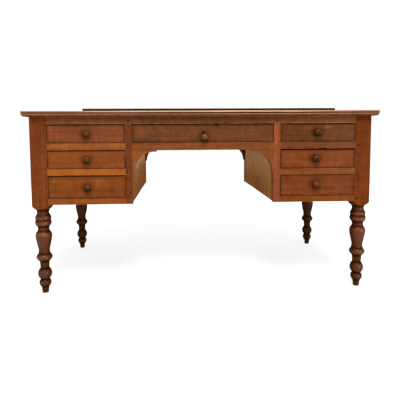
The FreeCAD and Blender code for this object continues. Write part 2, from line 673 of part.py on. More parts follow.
# The finished pieces, by name
nodes = {
    "top_board": top_board(),
    "writing_pad": writing_pad(),
    "leg_front_left": front_leg_left,
    "leg_front_right": front_leg_right,
    "leg_rear_left": to_rear(to_left(rear_leg)),
    "leg_rear_right": to_rear(rear_leg),
    "front_top_rail": front_top_rail,
    "rear_top_rail": to_rear(top_rail),
    "front_centre_rail": cut_all(centre_rail, RIGHT_HOLES),
    "rear_centre_rail": to_rear(centre_rail),
    "front_stile_left": front_stile_left,
    "front_stile_right": front_stile_right,
    "rear_stile_left": to_left(rear_stile),
    "rear_stile_right": rear_stile,
    "drawer_blades_left": Part.makeCompound([lower_blade_left, upper_blade_left]),
    "drawer_blades_right": Part.makeCompound([lower_blade_right, upper_blade_right]),
    "front_bottom_rails": Part.makeCompound(front_bottom_rails),
    "rear_bottom_rails": pair(to_rear(bottom_rail)),
    "front_brackets": pair(bracket()),
    "rear_brackets": pair(to_rear(bracket())),
    "side_panel_left": to_left(side_panel),
    "side_panel_right": side_panel,
    "kneehole_panel_left": to_left(knee_panel),
    "kneehole_panel_right": knee_panel,
    "back_panels": pair(back_panel(*PEDESTAL_BACK)),
    "rear_centre_panel": back_panel(*CENTRE_BACK),
    "runners_left": Part.makeCompound(left_runs),
    "runners_right": Part.makeCompound(pedestal_runs(RIGHT_BLADE[1])),
    "runners_centre": Part.makeCompound(centre_runs + [to_left(strip) for strip in centre_runs]),
    "joint_pegs": Part.makeCompound(pegs),
    "lock_case": lock_case,
    "lock_bolt": lock_bolt,
}

TOP_LEVEL = (UPPER_Z, TOP_RAIL_Z)
LEFT_OPENING = (-POST_X, -STILE_X)
RIGHT_OPENING = (STILE_X, POST_X)
RIGHT_KNOB_X = (STILE_X + POST_X) / 2 - KNOB_SHIFT
LOWER_KNOB_X = RIGHT_KNOB_X - LOWER_KNOB_SHIFT
LOWEST_KNOB_Z = middle(BOTTOM_Z, RIGHT_BLADE[0]) + LOWEST_KNOB_RISE
CENTRE_KNOB_Z = KEYHOLE_Z - KNOB_UNDER_KEYHOLE
drawers = {
    "left_bottom": drawer(*LEFT_OPENING, BOTTOM_Z, LEFT_BLADE[0], -RIGHT_KNOB_X),
    "left_middle": drawer(*LEFT_OPENING, LEFT_BLADE[1], UPPER_BLADE_Z, -RIGHT_KNOB_X),
    "left_top": drawer(*LEFT_OPENING, *TOP_LEVEL, -RIGHT_KNOB_X),
    "right_bottom": drawer(*RIGHT_OPENING, BOTTOM_Z, RIGHT_BLADE[0], LOWER_KNOB_X, LOWEST_KNOB_Z),
    "right_middle": drawer(*RIGHT_OPENING, RIGHT_BLADE[1], UPPER_BLADE_Z, LOWER_KNOB_X,
                           top_gap=WORN_GAP, screw_recess=True),
    "right_top": drawer(*RIGHT_OPENING, *TOP_LEVEL, RIGHT_KNOB_X, screw_recess=True),
    "centre": drawer(-KNEE_X, KNEE_X, *TOP_LEVEL, KNOB_SHIFT, CENTRE_KNOB_Z),
}
lock_recess = block(*LOCK_SIZE[:5], TOP_RAIL_Z, JOINT_GAP)
drawers["centre"]["front"] = cut_all(drawers["centre"]["front"], [lock_recess, keyhole(), chip])
for place, pieces in drawers.items():
    for piece, shape in pieces.items():
        nodes["drawer_" + place + "_" + piece] = shape

os.makedirs("parts", exist_ok=True)
for name, shape in nodes.items():
    shape.exportStep("parts/" + name + ".step")
    print(name, len(shape.Solids), round(shape.Volume), shape.isValid())
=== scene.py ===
import math
import bpy
from mathutils import Matrix, Vector


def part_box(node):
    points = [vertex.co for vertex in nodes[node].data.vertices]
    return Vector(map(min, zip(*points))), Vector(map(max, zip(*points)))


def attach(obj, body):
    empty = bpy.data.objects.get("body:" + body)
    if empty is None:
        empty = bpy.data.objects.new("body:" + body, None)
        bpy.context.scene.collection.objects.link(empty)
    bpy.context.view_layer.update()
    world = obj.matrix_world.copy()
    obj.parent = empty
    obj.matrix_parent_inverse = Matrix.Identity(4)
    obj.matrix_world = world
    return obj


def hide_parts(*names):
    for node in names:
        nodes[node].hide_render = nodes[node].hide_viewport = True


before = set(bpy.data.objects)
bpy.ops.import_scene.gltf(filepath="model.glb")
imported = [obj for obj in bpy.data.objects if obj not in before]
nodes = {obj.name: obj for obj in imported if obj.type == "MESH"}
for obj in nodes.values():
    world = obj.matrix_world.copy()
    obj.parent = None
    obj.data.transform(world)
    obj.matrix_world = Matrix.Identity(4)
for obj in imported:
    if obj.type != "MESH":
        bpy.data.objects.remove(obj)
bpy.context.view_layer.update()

# Legs: four red-brown hardwood posts that carry the whole table.
# Each is one billet, left square above for the frame's mortises and turned on a lathe below.
# The turned part is darker, and much darker on the rear legs as painted shade under the table; old wax
# stays in its quirks, and its necks and the shoulder under the square are painted in shade. Feet have
# rubbed and polished its front, which is painted lighter, partly as wear and partly as a painted
# highlight, with painted glints on the rings.
LEG_LOOKS = {
    "leg_front_left": {"square": (118, 61, 27), "turned": (82, 34, 2),
                       "rub_and_light": 0.26, "painted_shade": 0.0, "polish": 0.42},
    "leg_front_right": {"square": (114, 55, 18), "turned": (84, 36, 2),
                        "rub_and_light": 0.18, "painted_shade": 0.24, "polish": 0.42},
    # The rear legs' turned parts are painted much darker: painted shade for their place under the
    # table.
    "leg_rear_left": {"square": (110, 58, 22), "turned": (55, 29, 4),
                      "rub_and_light": 0.1, "painted_shade": 0.0, "polish": 0.06},
    "leg_rear_right": {"square": (110, 58, 22), "turned": (55, 29, 4),
                       "rub_and_light": 0.1, "painted_shade": 0.0, "polish": 0.06},
}
LEG_SEED = 1.0
LOW_TURNING = (76, 40, 0)
KICKED_AND_LIT_WOOD = (156, 88, 50)
WORN_WOOD_AND_GLINT = (190, 122, 68)
# Old wax and dirt, and also painted shade where it stands in for shade.
OLD_WAX_AND_SHADE = (30, 12, 7)
# Sizes are in metres, and heights are from the floor.
TURNED_TOP = 0.370
TURNED_BLEND = 0.008
LOW_LEG = (0.20, 0.11)
NECK_HEIGHTS = (0.277, 0.350)
NECK_REACH = (0.015, 0.009)
QUIRK_HEIGHTS = (0.030, 0.060, 0.108, 0.139, 0.172, 0.268, 0.289, 0.3155, 0.336, 0.357)
WAX_REACH = (0.010, 0.001)
RING_HEIGHTS = (0.050, 0.094, 0.160, 0.258, 0.303, 0.327)
RING_REACH = 0.012
FORE_START = 0.012
FORE_FULL = 0.029
KICKED_HEIGHTS = (0.10, 0.24)
POST_TOP_SHADE_HEIGHTS = (0.58, 0.72)
FILM_ROUGHNESS = 0.3
HANDLED_ROUGHNESS = 0.22
POLISHED_RELIEF = 0.00012
GRAIN_STRETCH = 0.05
GRAIN_SHIFT = (3.1, 1.7, 2.3)
RIPPLE_STRETCH = 0.25
GROWTH_SCALE = 22.0
STREAK_SCALE = 120.0
PORE_SCALE = 1100.0
RIPPLE_SCALE = 60.0
MOTTLE_SCALE = 50.0
PATCH_SCALE = 5.0
FLUSH_SCALE = 16.0
CLOUD_SPREAD = 3.3
DARK_TONES = (0.05, -0.5)
DARK_TINT = 0.38
PALE_TONES = (-0.05, 0.5)
PALE_TINT = 1.9
PORE_TONES = (0.3, 0.8)
PORE_TINT = 0.3
PORE_STRENGTH = 0.4
FLUSH_TONES = (0.1, 0.9)
FLUSH_STRENGTH = 0.3
RUDDY_SHARES = (1.1, 0.72, 0.9, 1.0)
ARRIS_REACH = 0.0024
DIRT_BAND = (0.013, 0.001)


def stain(red, green, blue):
    """A colour as the eye sees it, 0 to 255, turned into the light that a shader counts in."""
    shares = [value / 255 for value in (red, green, blue)]
    light = [s / 12.92 if s <= 0.04045 else ((s + 0.055) / 1.055) ** 2.4 for s in shares]
    return (*light, 1.0)


def tinted(colour, strength):
    """The same colour, lighter above 1 and darker below it."""
    return tuple(value * strength for value in colour)


class Layer:
    """A value, colour or vector in a finish: arithmetic adds Math nodes, node() any other."""

    def __init__(self, tree, socket=None):
        self.tree = tree
        self.socket = socket

    def node(self, kind, settings, inputs, output=0):
        """A node of any kind: its settings first, then its sockets' values and links."""
        made = self.tree.nodes.new(kind)
        for name, value in settings.items():
            setattr(made, name, value)
        for name, value in inputs.items():
            if isinstance(value, Layer):
                self.tree.links.new(value.socket, made.inputs[name])
            else:
                made.inputs[name].default_value = value
        return Layer(self.tree, made.outputs[output] if made.outputs else None)

    def maths(self, operation, first, second=0.0):
        return self.node("ShaderNodeMath", {"operation": operation}, {0: first, 1: second})

    def __add__(self, other):
        return self.maths("ADD", self, other)

    def __sub__(self, other):
        return self.maths("SUBTRACT", self, other)

    def __rsub__(self, other):
        return self.maths("SUBTRACT", other, self)

    def __mul__(self, other):
        return self.maths("MULTIPLY", self, other)

    def __abs__(self):
        return self.maths("ABSOLUTE", self)

    __radd__ = __add__
    __rmul__ = __mul__

    def least(self, other):
        return self.maths("MINIMUM", self, other)

    def most(self, other):
        return self.maths("MAXIMUM", self, other)

    def ramp(self, start, full):
        """0 at start, 1 at full and smooth between, whichever of the two is larger."""
        limits = {"Value": self, "From Min": start, "From Max": full}
        return self.node("ShaderNodeMapRange", {"interpolation_type": "SMOOTHSTEP"}, limits)

    def blend(self, under, over):
        """Colour that turns from under to over as this value goes from 0 to 1."""
        # In a Mix node, inputs 6 and 7 and output 2 are the ones for colours.
        return self.node("ShaderNodeMix", {"data_type": "RGBA"}, {0: self, 6: under, 7: over}, 2)

    def scaled(self, scale, offset=(0.0, 0.0, 0.0)):
        """These coordinates stretched by axis and shifted."""
        inputs = {"Vector": self, "Scale": scale, "Location": offset}
        return self.node("ShaderNodeMapping", {}, inputs)

    def shifted(self, offset):
        """These coordinates moved to another part of the pattern."""
        return self.scaled((1.0, 1.0, 1.0), offset)

    def facing(self):
        """These coordinates as seen straight from the front, without their depth."""
        return self.scaled((1.0, 0.0, 1.0))

    def cloud(self, scale, detail=3.0, roughness=0.55, distortion=0.0):
        """Noise over these coordinates, about 0 and reaching about -1 and 1."""
        inputs = {"Vector": self, "Scale": scale, "Detail": detail, "Roughness": roughness,
                  "Distortion": distortion}
        return (self.node("ShaderNodeTexNoise", {}, inputs) - 0.5) * CLOUD_SPREAD

    def axis(self, letter):
        return self.node("ShaderNodeSeparateXYZ", {}, {0: self}, letter)

    def away_from(self, point):
        """Distance from a point."""
        ends = {0: self, 1: point}
        return self.node("ShaderNodeVectorMath", {"operation": "DISTANCE"}, ends, "Value")

    def oval(self, centre, reach):
        """0 at a centre and 1 at the rim of an oval that reaches so far along each axis."""
        squeeze = [1 / length for length in reach]
        squeezed_centre = [place / length for place, length in zip(centre, reach)]
        return self.scaled(squeeze).away_from(squeezed_centre)

    def nearest(self, positions):
        """Distance of this value from the closest of some positions."""
        gap = abs(self - positions[0])
        for position in positions[1:]:
            gap = gap.least(abs(self - position))
        return gap


class Finish:
    """A surface being built up: its colour, roughness and relief, and where each point is."""

    def __init__(self, name):
        self.material = bpy.data.materials.new(name)
        self.material.use_nodes = True
        tree = self.material.node_tree
        self.place = Layer(tree).node("ShaderNodeTexCoord", {}, {}, "Object")

    def over(self, amount, colour, strength=1.0):
        """A thin coat of another colour, where the amount says and as much as the strength says."""
        self.colour = (amount * strength).blend(self.colour, stain(*colour))

    def lay(self, relief, film=0.0, shine=0.0, metallic=0.0, film_roughness=FILM_ROUGHNESS):
        """The finish put on its shader; film is the share of its polish that is left on it."""
        tree = self.material.node_tree
        shader = tree.nodes["Principled BSDF"]
        inputs = {"Height": self.height, "Strength": 1.0, "Distance": relief}
        bump = self.height.node("ShaderNodeBump", {}, inputs)
        links = {"Base Color": self.colour, "Roughness": self.roughness, "Normal": bump}
        fixed = {"Specular IOR Level": shine, "Metallic": metallic, "Coat Roughness": film_roughness}
        if isinstance(film, Layer):
            links["Coat Weight"] = film
        else:
            fixed["Coat Weight"] = film
        for name, layer in links.items():
            tree.links.new(layer.socket, shader.inputs[name])
        for name, value in fixed.items():
            shader.inputs[name].default_value = value
        return self.material


def wood(name, colour, along, seed, roughness, figure=1.0):
    """Bare board: growth figure, streaks, pores, ripple and slow changes of tone."""
    made = Finish(name)
    body = stain(*colour)
    stretch = [GRAIN_STRETCH if letter == along else 1.0 for letter in "XYZ"]
    ripple_stretch = [1.0 if letter == along else RIPPLE_STRETCH for letter in "XYZ"]
    fibre = made.place.scaled(stretch, [seed * shift for shift in GRAIN_SHIFT])
    growth = fibre.cloud(GROWTH_SCALE, detail=3.0, roughness=0.5, distortion=0.7)
    made.streaks = fibre.cloud(STREAK_SCALE, detail=5.0, roughness=0.68)
    made.pores = fibre.cloud(PORE_SCALE, detail=2.0).ramp(*PORE_TONES)
    ripple = made.place.scaled(ripple_stretch, (seed, 0.0, seed)).cloud(RIPPLE_SCALE, detail=2.0)
    made.mottle = made.place.shifted((seed, seed, seed)).cloud(MOTTLE_SCALE, detail=4.0, roughness=0.6)
    made.patches = made.place.shifted((-seed, seed, seed)).cloud(PATCH_SCALE, detail=2.0)
    tone = figure * (0.16 * growth + 0.22 * made.streaks + 0.10 * ripple
                     + 0.16 * made.mottle + 0.10 * made.patches)
    dark = tone.ramp(*DARK_TONES)
    pale = tone.ramp(*PALE_TONES)
    made.colour = dark.blend(pale.blend(body, tinted(body, PALE_TINT)), tinted(body, DARK_TINT))
    made.colour = (made.pores * PORE_STRENGTH).blend(made.colour, tinted(body, PORE_TINT))
    flush = made.place.shifted((seed, -seed, seed)).cloud(FLUSH_SCALE, detail=3.0).ramp(*FLUSH_TONES)
    ruddy = [light * share for light, share in zip(body, RUDDY_SHARES)]
    made.colour = (flush * FLUSH_STRENGTH).blend(made.colour, ruddy)
    made.roughness = roughness + 0.05 * made.streaks + 0.05 * made.mottle
    made.height = 0.3 * made.streaks - made.pores
    return made


def wear_edges(made, planes, wear=0.5, dirt=0.2, reach=ARRIS_REACH):
    """Arrises rubbed pale, with a dirtier band beside them, by distance to the board's edges."""
    away = [made.place.axis(letter).nearest(positions) for letter, positions in planes.items()]
    # The second smallest of the distances is short only where two faces meet.
    if len(away) == 2:
        edge = away[0].most(away[1])
    else:
        first, second, third = away
        edge = first.least(second).most(first.most(second).least(third))
    uneven = (0.5 + 0.5 * made.mottle + 0.3 * made.streaks).ramp(0.0, 1.0)
    worn = edge.ramp(reach, reach / 8) * uneven
    made.over(edge.ramp(*DIRT_BAND) * (0.5 + 0.5 * made.patches).ramp(0.0, 1.0), OLD_WAX_AND_SHADE, strength=dirt)
    made.over(worn, WORN_WOOD_AND_GLINT, strength=wear)
    made.roughness = made.roughness + 0.1 * worn


def box_planes(name):
    """The six faces of a piece's box, by axis."""
    low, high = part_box(name)
    return {letter: (low[axis], high[axis]) for axis, letter in enumerate("XYZ")}


def middle_of(name):
    """The middle of a piece's box."""
    low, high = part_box(name)
    return (low + high) / 2


def dress(name, material):
    """Give a carried-over piece its finish."""
    nodes[name].data.materials.clear()
    nodes[name].data.materials.append(material)


for order, (name, look) in enumerate(LEG_LOOKS.items()):
    post = wood(name, look["square"], "Z", LEG_SEED + order, roughness=0.55)
    height = post.place.axis("Z")
    turned = height.ramp(TURNED_TOP, TURNED_TOP - TURNED_BLEND)
    post.over(turned, look["turned"], strength=0.75)
    post.over(height.ramp(*LOW_LEG), LOW_TURNING, strength=0.5)
    # Painted shade in the necks and on the shoulder under the square.
    post.over(height.nearest(NECK_HEIGHTS).ramp(*NECK_REACH), OLD_WAX_AND_SHADE, strength=0.2)
    waxed = height.nearest(QUIRK_HEIGHTS).ramp(*WAX_REACH) * (0.9 + 0.25 * post.mottle)
    post.over(turned * waxed, OLD_WAX_AND_SHADE, strength=0.9)
    uneven = (0.4 + 0.6 * post.mottle).ramp(0.0, 1.0)
    glints_on_rings = height.nearest(RING_HEIGHTS).ramp(RING_REACH, 0.0) * uneven
    axis_y = middle_of(name).y
    # The front of the turned part is painted lighter, partly as wear from feet and partly as a painted
    # highlight, with painted glints on the rings.
    fore = post.place.axis("Y").ramp(axis_y - FORE_START, axis_y - FORE_FULL)
    kicked_and_lit = turned * fore * (0.2 + 0.8 * height.ramp(*KICKED_HEIGHTS)) * look["rub_and_light"]
    post.over(kicked_and_lit, KICKED_AND_LIT_WOOD, strength=0.35)
    post.over(kicked_and_lit * glints_on_rings, WORN_WOOD_AND_GLINT, strength=1.7)
    # Painted shade at the top of the post, under the overhang of the top.
    post.over(height.ramp(*POST_TOP_SHADE_HEIGHTS), OLD_WAX_AND_SHADE, strength=look["painted_shade"])
    planes = box_planes(name)
    wear_edges(post, {"X": planes["X"], "Y": planes["Y"]}, wear=0.4)
    post.roughness = post.roughness - 0.15 * turned
    film = 0.02 + turned * (1 - waxed) * (0.03 + look["polish"] * fore)
    dress(name, post.lay(POLISHED_RELIEF, film, film_roughness=HANDLED_ROUGHNESS))

# Frame: rails, stiles and drawer blades of the same wood, tenoned into the posts and pegged.
# They are planed boards with the arrises taken off; the blades and lower rails have faded paler
# than the rest, and the inner edges that drawers and hands rub are lightest.
FRAME_STAINS = {
    "front_top_rail": ((121, 71, 42), "X"), "rear_top_rail": ((110, 62, 34), "X"),
    "front_centre_rail": ((130, 72, 35), "X"), "rear_centre_rail": ((128, 72, 38), "X"),
    "front_bottom_rails": ((148, 80, 32), "X"), "rear_bottom_rails": ((128, 72, 38), "X"),
    "drawer_blades_left": ((150, 84, 40), "X"), "drawer_blades_right": ((120, 65, 33), "X"),
    "front_stile_left": ((113, 60, 27), "Z"), "front_stile_right": ((139, 73, 39), "Z"),
    "rear_stile_left": ((110, 62, 32), "Z"), "rear_stile_right": ((110, 62, 32), "Z"),
}
FRAME_SEED = 6.0
FACE_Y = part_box("front_top_rail")[0].y
UPPER_BLADE = 0.0285
LOWER_BLADE = 0.027
BLADE_FADE = {"drawer_blades_left": 0.32, "drawer_blades_right": 0.1}
FADED_BLADE = (204, 111, 22)
FADED_BLADE_HEIGHTS = (0.6, 0.54)
SCRATCH_PLACE = (-0.3446, FACE_Y, 0.5255)
SCRATCH_REACH = (0.015, 0.015, 0.00375)
MIDDLE_BAND = 0.1
RAIL_DARK_SPAN = (0.4, 0.2)
RAIL_ARRIS = {"front_top_rail": {"wear": 0.9, "reach": 0.004}}
KNEEHOLE_WOOD = (197, 143, 91)
PAINTED_LIGHT_WOOD = (255, 214, 156)
PAINTED_LIGHT_HEIGHTS = (0.49, 0.575)
INNER_FACE = (0.0006, 0.0001)
BLOT_PLACE = (-0.319, FACE_Y, 0.492)
BLOT_REACH = (0.009, 0.002)

boards = {}
for order, (name, (colour, along)) in enumerate(FRAME_STAINS.items()):
    boards[name] = wood(name, colour, along, FRAME_SEED + order, roughness=0.5)

for name, fade in BLADE_FADE.items():
    blades = boards[name]
    blades.over(blades.place.axis("Z").ramp(*FADED_BLADE_HEIGHTS), FADED_BLADE, strength=fade)
scratched = boards["drawer_blades_left"]
scratch = scratched.place.oval(SCRATCH_PLACE, SCRATCH_REACH).ramp(1.0, 0.4)
scratched.over(scratch, OLD_WAX_AND_SHADE, strength=0.4)

bottom_rails = boards["front_bottom_rails"]
at_right = bottom_rails.place.axis("X").ramp(-MIDDLE_BAND, MIDDLE_BAND)
bottom_rails.over(at_right, OLD_WAX_AND_SHADE, strength=0.27)
top_rail = boards["front_top_rail"]
top_rail.over(abs(top_rail.place.axis("X")).ramp(*RAIL_DARK_SPAN), OLD_WAX_AND_SHADE, strength=0.24)

# The inner face of the left rear stile takes the kneehole panels' colour, with the same painted light
# above.
stile = boards["rear_stile_left"]
kneehole_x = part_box("rear_stile_left")[1].x
inner = stile.place.axis("X").ramp(*(kneehole_x - depth for depth in INNER_FACE))
stile.over(inner, KNEEHOLE_WOOD)
stile.over(inner * stile.place.axis("Z").ramp(*PAINTED_LIGHT_HEIGHTS), PAINTED_LIGHT_WOOD)

for name, board in boards.items():
    planes = box_planes(name)
    if name in BLADE_FADE:
        foot, head = planes["Z"]
        planes["Z"] = (foot, foot + LOWER_BLADE, head - UPPER_BLADE, head)
    wear_edges(board, planes, **RAIL_ARRIS.get(name, {}))
blotted = boards["front_stile_left"]
blotted.over(blotted.place.away_from(BLOT_PLACE).ramp(*BLOT_REACH), OLD_WAX_AND_SHADE, strength=0.4)
for name, board in boards.items():
    dress(name, board.lay(POLISHED_RELIEF, film=0.06))

# Brackets: small spandrels sawn with a hollow quarter-round, glued under the centre rails.
# They are cut from offcuts of the rail wood and have lost their polish; those at the left are paler.
BRACKET_STAINS = {"front_brackets": (135, 74, 37), "rear_brackets": (112, 62, 30)}
BRACKET_SEED = 19.0
FADED_BRACKET = (190, 104, 56)
BRACKET_RELIEF = 0.00015
for order, (name, colour) in enumerate(BRACKET_STAINS.items()):
    bracket = wood(name, colour, "X", BRACKET_SEED + order, roughness=0.55)
    at_left = bracket.place.axis("X").ramp(MIDDLE_BAND, -MIDDLE_BAND)
    bracket.over(at_left, FADED_BRACKET, strength=0.2)
    wear_edges(bracket, box_planes(name), wear=0.3)
    dress(name, bracket.lay(BRACKET_RELIEF))

# Panels: plain boards that stand in grooves of the posts and stiles and close the pedestals.
# The outer ones are polished like the frame; those in the kneehole and at the back are thin and
# never polished. In the kneehole they are painted pale above as painted light and darker low down,
# with a painted shade of the stiles' sides along their front edge.
SIDE_STAIN = (126, 68, 33)
SIDE_SEED = 22.0
KNEEHOLE_LOOKS = {
    "kneehole_panel_left": {"stain": KNEEHOLE_WOOD, "lit_above": 1.0, "darker_low": 0.85},
    "kneehole_panel_right": {"stain": (239, 180, 117), "lit_above": 0.75, "darker_low": 0.8},
}
KNEEHOLE_SEED = 25.0
DARKER_LOW_WOOD = (172, 106, 55)
DARKER_LOW_HEIGHTS = (0.54, 0.41)
STILE_SHADE_STRIP = (176, 108, 36)
STILE_SHADE_WIDTH = (0.046, 0.042)
BACK_STAIN = (118, 78, 46)
BACK_SEED = 28.0
ROUGH_RELIEF = 0.0002
for order, name in enumerate(("side_panel_left", "side_panel_right")):
    panel = wood(name, SIDE_STAIN, "Z", SIDE_SEED + order, roughness=0.45, figure=1.3)
    wear_edges(panel, box_planes(name), wear=0.3)
    dress(name, panel.lay(POLISHED_RELIEF, film=0.12))

for order, (name, look) in enumerate(KNEEHOLE_LOOKS.items()):
    panel = wood(name, look["stain"], "Z", KNEEHOLE_SEED + order, roughness=0.88, figure=0.9)
    height = panel.place.axis("Z")
    # Painted light: the upper part of the panel is painted pale.
    lit_above = height.ramp(*PAINTED_LIGHT_HEIGHTS) * (0.9 + 0.4 * panel.patches).ramp(0.0, 1.0)
    panel.over(lit_above, PAINTED_LIGHT_WOOD, strength=look["lit_above"])
    # Darker towards the bottom.
    darker_low = height.ramp(*DARKER_LOW_HEIGHTS) * (0.8 + 0.4 * panel.patches).ramp(0.0, 1.0)
    panel.over(darker_low, DARKER_LOW_WOOD, strength=look["darker_low"])
    wear_edges(panel, box_planes(name), wear=0.2, dirt=0.35)
    # Painted shade of the stile's side along the front edge.
    front_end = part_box(name)[0].y
    strip = panel.place.axis("Y").ramp(*(front_end + width for width in STILE_SHADE_WIDTH))
    panel.over(strip, STILE_SHADE_STRIP, strength=0.85)
    dress(name, panel.lay(ROUGH_RELIEF))

for order, name in enumerate(("back_panels", "rear_centre_panel")):
    panel = wood(name, BACK_STAIN, "Z", BACK_SEED + order, roughness=0.8, figure=1.3)
    wear_edges(panel, box_planes(name), wear=0.2, dirt=0.4)
    dress(name, panel.lay(ROUGH_RELIEF, film=0.02))

# Runners: plain strips of pale wood glued inside the pedestals for the drawers to slide on.
# They are sawn, not polished, and the drawers' sides have left darker tracks along them.
RUNNER_STAIN = (150, 108, 66)
RUNNER_TRACK = (88, 54, 30)
RUNNER_SEED = 31.0
RUNNER_RELIEF = 0.00025
for order, name in enumerate(("runners_left", "runners_right", "runners_centre")):
    strip = wood(name, RUNNER_STAIN, "Y", RUNNER_SEED + order, roughness=0.75, figure=1.2)
    track = (0.3 + 0.6 * strip.patches + 0.4 * strip.streaks).ramp(0.2, 1.0)
    strip.over(track, RUNNER_TRACK, strength=0.4)
    dress(name, strip.lay(RUNNER_RELIEF))

# Top: one wide board, its edge worked with a nosing, a quirk and an ovolo on all four sides.
# Along the front the nosing is painted pale, most of all in the middle, partly as wear from sleeves and
# partly as a painted highlight; the ovolo under it kept its stain below a painted highlight on its
# upper edge, and wax lies in the quirk.
TOP_STAIN = (130, 76, 47)
TOP_SEED = 35.0
BARE_WOOD_AND_HIGHLIGHT = (226, 176, 132)
QUIRK_WAX = (44, 12, 4)
NOSING_DEPTHS = (0.0075, 0.0045)
NOSING_RIM = (0.012, 0.002)
QUIRK_DEPTH = 0.0085
QUIRK_REACH = (0.0041, 0.0014)
FILLET_DEPTH = 0.013
FILLET_REACH = 0.0022
FILLET_RIM = (0.02, 0.012)
RUBBED_AND_LIT_SPAN = (0.75, 0.2)
POLISHED_RIM = (0.006, 0.03)
RUBBED_RELIEF = 0.0001
top = wood("top_board", TOP_STAIN, "X", TOP_SEED, roughness=0.38, figure=1.3)
planes = box_planes("top_board")
below = planes["Z"][1] - top.place.axis("Z")
across = top.place.axis("X")
rim = across.nearest(planes["X"]).least(top.place.axis("Y").nearest(planes["Y"]))
# Painted highlight along the fillet under the quirk.
fillet_highlight = abs(below - FILLET_DEPTH).ramp(FILLET_REACH, 0.0) * rim.ramp(*FILLET_RIM)
top.over(fillet_highlight, BARE_WOOD_AND_HIGHLIGHT, strength=0.4)
middle = abs(across).ramp(*RUBBED_AND_LIT_SPAN)
quirk = abs(below - QUIRK_DEPTH).ramp(*QUIRK_REACH)
top.over(quirk * (0.55 + 0.4 * middle), QUIRK_WAX)
# Pale nosing, partly wear and partly a painted highlight, brightest in the middle.
nosing = below.ramp(*NOSING_DEPTHS) * rim.ramp(*NOSING_RIM)
rubbed = nosing * (0.2 + 0.7 * middle + 0.25 * top.patches + 0.2 * top.streaks)
top.over(rubbed, BARE_WOOD_AND_HIGHLIGHT)
dress("top_board", top.lay(RUBBED_RELIEF, 0.25 * rim.ramp(*POLISHED_RIM)))

# Pegs: round pins driven through the tenons, with thin plugs over the runners' nails.
# They are of a dark wood and show as small discs of end grain on the face of the frame.
PEG_STAIN = (46, 22, 13)
PEG_SEED = 37.0
pegs = wood("joint_pegs", PEG_STAIN, "Y", PEG_SEED, roughness=0.6)
dress("joint_pegs", pegs.lay(ROUGH_RELIEF, film=0.05))

# Drawers: a hardwood front with a box of pale wood dovetailed to it and a thin bottom board.
# Each front is polished, with dirt and painted shade along its edges, the painted shade heaviest along
# its top, a darker ring round its knob and a few knocks and stains; the centre one has painted shade
# for a chip at its top and for its keyhole.
# The box and bottom are bare wood, dirty along their edges and in patches.
DRAWER_STAINS = {
    "left_top": (125, 67, 36), "left_middle": (134, 70, 31), "left_bottom": (128, 66, 25),
    "centre": (104, 59, 32), "right_top": (98, 54, 26), "right_middle": (125, 64, 25),
    "right_bottom": (116, 58, 23),
}
FRONT_SEED = 40.0
FACE_DEPTH = (0.005, 0.002)
SIDE_GAP_SHADE = (0.003, 0.001)
UPPER_GAP_SHADE = (0.0035, 0.0012)
UPPER_GAP_SHADE_AMOUNT = 0.8
LIGHTER_UPPER_GAP_SHADE = {"right_bottom": 0.25}
BLOOM_REACH = (0.045, 0.014)
CHIP_PLACE = (0.054, FACE_Y, 0.713)
CHIP_REACH = (0.0085, 0.006)
FRONT_MARKS = {
    "right_top": {"x": 0.528, "z": 0.701, "reach": (0.012, 1.0, 0.006), "amount": 0.3,
                  "colour": WORN_WOOD_AND_GLINT},
    "right_bottom": {"x": 0.506, "z": 0.486, "reach": (0.005, 1.0, 0.012), "amount": 0.4,
                     "colour": OLD_WAX_AND_SHADE},
    # The centre mark is painted shade for the keyhole above the knob, with dirt round it.
    "centre": {"x": 0.001, "z": 0.682, "reach": (0.010, 1.0, 0.014), "amount": 0.75,
               "colour": OLD_WAX_AND_SHADE},
}
BOX_STAIN = (172, 128, 82)
BOX_SEED = 50.0
BOTTOM_STAIN = (164, 121, 78)
BOTTOM_SPILL = (92, 66, 42)
BOTTOM_SEED = 60.0
